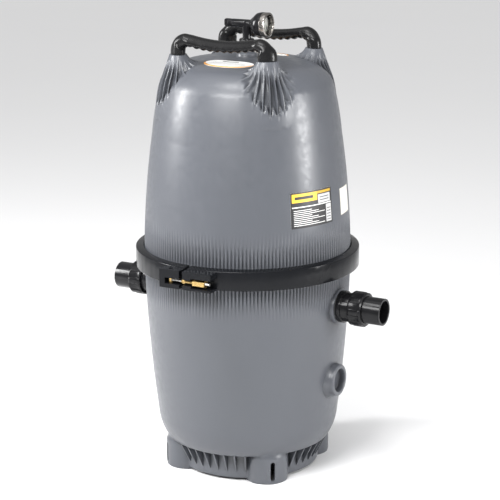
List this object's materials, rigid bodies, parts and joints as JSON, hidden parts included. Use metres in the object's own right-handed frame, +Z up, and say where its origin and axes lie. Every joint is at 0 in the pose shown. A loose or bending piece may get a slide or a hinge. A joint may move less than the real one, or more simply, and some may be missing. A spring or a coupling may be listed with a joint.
{
  "type": "pool cartridge filter",
  "caption": "Tall pool cartridge filter: two-piece moulded tank on feet, clamp ring, side unions, top handles and a pressure gauge with air release.",
  "frame": {"origin": "on the floor under the tank axis", "axes": "+Z up the tank axis; the outlet union and the gauge face point to +X, the inlet union to -X, the clamp latch to -Y and the drain to +Y"},
  "size_m": [0.824, 0.659, 1.251],
  "materials": {
    "grey_housing": "satin moulded",
    "black_plastic": "semi-gloss moulded",
    "clamp_black": "semi-gloss powder coat",
    "black_rubber": "matte",
    "brass": "machined",
    "steel": "machined",
    "white_plastic": "satin",
    "filter_media": "pleated",
    "element_blue": "potted",
    "chrome": "polished",
    "clear_lens": "clear",
    "dial_face": "printed",
    "needle_black": "matte",
    "label_film": "printed film"
  },
  "bodies": {
    "tank": {"bottom_manifold": "white_plastic", "breather_screen": "white_plastic", "breather_tube": "white_plastic", "clamp_band": "clamp_black", "clamp_lug_anchor": "clamp_black", "clamp_lug_slotted": "clamp_black", "drain_fitting": "black_plastic", "drain_gasket": "black_rubber", "drain_nut": "black_plastic", "element_1_end_caps": "element_blue", "element_1_media": "filter_media", "element_2_end_caps": "element_blue", "element_2_media": "filter_media", "element_3_end_caps": "element_blue", "element_3_media": "filter_media", "element_4_end_caps": "element_blue", "element_4_media": "filter_media", "element_cores": "white_plastic", "inlet_bulkhead_fitting": "black_plastic", "inlet_bulkhead_gasket": "black_rubber", "inlet_bulkhead_nut": "black_plastic", "inlet_diffuser": "white_plastic", "inlet_union_o_ring": "black_rubber", "lower_housing": "grey_housing", "outlet_bulkhead_fitting": "black_plastic", "outlet_bulkhead_gasket": "black_rubber", "outlet_bulkhead_nut": "black_plastic", "outlet_standpipe": "white_plastic", "outlet_union_o_ring": "black_rubber", "tank_o_ring": "black_rubber", "top_manifold": "white_plastic"},
    "inlet_tail": {"inlet_tailpiece": "black_plastic"},
    "inlet_nut": {"inlet_union_nut": "black_plastic"},
    "outlet_tail": {"outlet_tailpiece": "black_plastic"},
    "outlet_nut": {"outlet_union_nut": "black_plastic"},
    "drain_seal": {"drain_cap_seal": "black_rubber"},
    "drain_cover": {"drain_cap": "black_plastic"},
    "bolt": {"clamp_trunnion": "brass", "clamp_bolt": "steel"},
    "sleeve": {"clamp_sleeve": "brass"},
    "bolt_nut": {"clamp_nut": "brass"},
    "gauge": {"gauge_adapter": "black_plastic", "gauge_case": "black_plastic", "gauge_dial": "dial_face", "gauge_lens": "clear_lens"},
    "collar_nut": {"gauge_collar_nut": "black_plastic"},
    "bezel": {"gauge_bezel": "chrome"},
    "needle": {"gauge_needle": "needle_black"},
    "valve_seal": {"air_release_seal": "black_rubber"},
    "valve_knob": {"air_release_knob": "black_plastic"},
    "lid": {"upper_housing": "grey_housing", "handle_front": "black_plastic", "handle_rear": "black_plastic", "handle_screws": "steel", "gauge_adapter_o_ring": "black_rubber", "spec_label": "label_film", "data_label": "label_film", "warning_label_front": "label_film", "warning_label_rear": "label_film"}
  },
  "joints": [
    {"name": "lid_lift", "type": "slide", "parent": "tank", "child": "lid", "axis": [0, 0, 1], "range_m": [0, 0.53]},
    {"name": "inlet_union_slide", "type": "slide", "parent": "tank", "child": "inlet_tail", "axis": [-1, 0, 0], "range_m": [0, 0.024]},
    {"name": "inlet_union_turn", "type": "hinge", "parent": "inlet_tail", "child": "inlet_nut", "pos_m": [-0.342, 0, 0.476], "axis": [-1, 0, 0], "range_deg": [0, 1440]},
    {"name": "outlet_union_slide", "type": "slide", "parent": "tank", "child": "outlet_tail", "axis": [1, 0, 0], "range_m": [0, 0.024]},
    {"name": "outlet_union_turn", "type": "hinge", "parent": "outlet_tail", "child": "outlet_nut", "pos_m": [0.342, 0, 0.476], "axis": [1, 0, 0], "range_deg": [0, 1440]},
    {"name": "drain_cap_slide", "type": "slide", "parent": "tank", "child": "drain_seal", "axis": [0, 1, 0], "range_m": [0, 0.024]},
    {"name": "drain_cap_turn", "type": "hinge", "parent": "drain_seal", "child": "drain_cover", "pos_m": [0, 0.304, 0.15], "axis": [0, 1, 0], "range_deg": [0, 2160]},
    {"name": "bolt_swing", "type": "hinge", "parent": "tank", "child": "bolt", "pos_m": [-0.054, -0.3185, 0.585], "axis": [0, 0, -1], "range_deg": [0, 95]},
    {"name": "clamp_nut_slide", "type": "slide", "parent": "bolt", "child": "sleeve", "axis": [1, 0, 0], "range_m": [0, 0.012], "deforming": ["clamp_band"]},
    {"name": "clamp_nut_turn", "type": "hinge", "parent": "sleeve", "child": "bolt_nut", "pos_m": [0.0155, -0.3185, 0.585], "axis": [1, 0, 0], "range_deg": [0, 2880]},
    {"name": "collar_nut_slide", "type": "slide", "parent": "lid", "child": "gauge", "axis": [0, 0, 1], "range_m": [0, 0.018]},
    {"name": "collar_nut_turn", "type": "hinge", "parent": "gauge", "child": "collar_nut", "pos_m": [0, 0, 1.166], "axis": [0, 0, 1], "range_deg": [0, 2160]},
    {"name": "bezel_turn", "type": "hinge", "parent": "gauge", "child": "bezel", "pos_m": [0.06, 0, 1.218], "axis": [1, 0, 0], "continuous": true},
    {"name": "needle_sweep", "type": "hinge", "parent": "gauge", "child": "needle", "pos_m": [0.049, 0, 1.218], "axis": [-1, 0, 0], "range_deg": [0, 270], "stiffness_Nm_per_rad": 0.0004, "springref_deg": -28.65},
    {"name": "air_release_slide", "type": "slide", "parent": "gauge", "child": "valve_seal", "axis": [-1, 0, 0], "range_m": [0, 0.003]},
    {"name": "air_release_turn", "type": "hinge", "parent": "valve_seal", "child": "valve_knob", "pos_m": [-0.03, 0, 1.218], "axis": [-1, 0, 0], "range_deg": [0, 540]}
  ],
  "couplings": [
    {"joint": "inlet_union_slide", "follows": "inlet_union_turn", "m_per_rad": 0.00095492},
    {"joint": "outlet_union_slide", "follows": "outlet_union_turn", "m_per_rad": 0.00095492},
    {"joint": "drain_cap_slide", "follows": "drain_cap_turn", "m_per_rad": 0.00063661},
    {"joint": "clamp_nut_slide", "follows": "clamp_nut_turn", "m_per_rad": 0.00023873},
    {"joint": "collar_nut_turn", "follows": "collar_nut_slide", "rad_per_m": 2094.4},
    {"joint": "air_release_slide", "follows": "air_release_turn", "m_per_rad": 0.0003183}
  ]
}
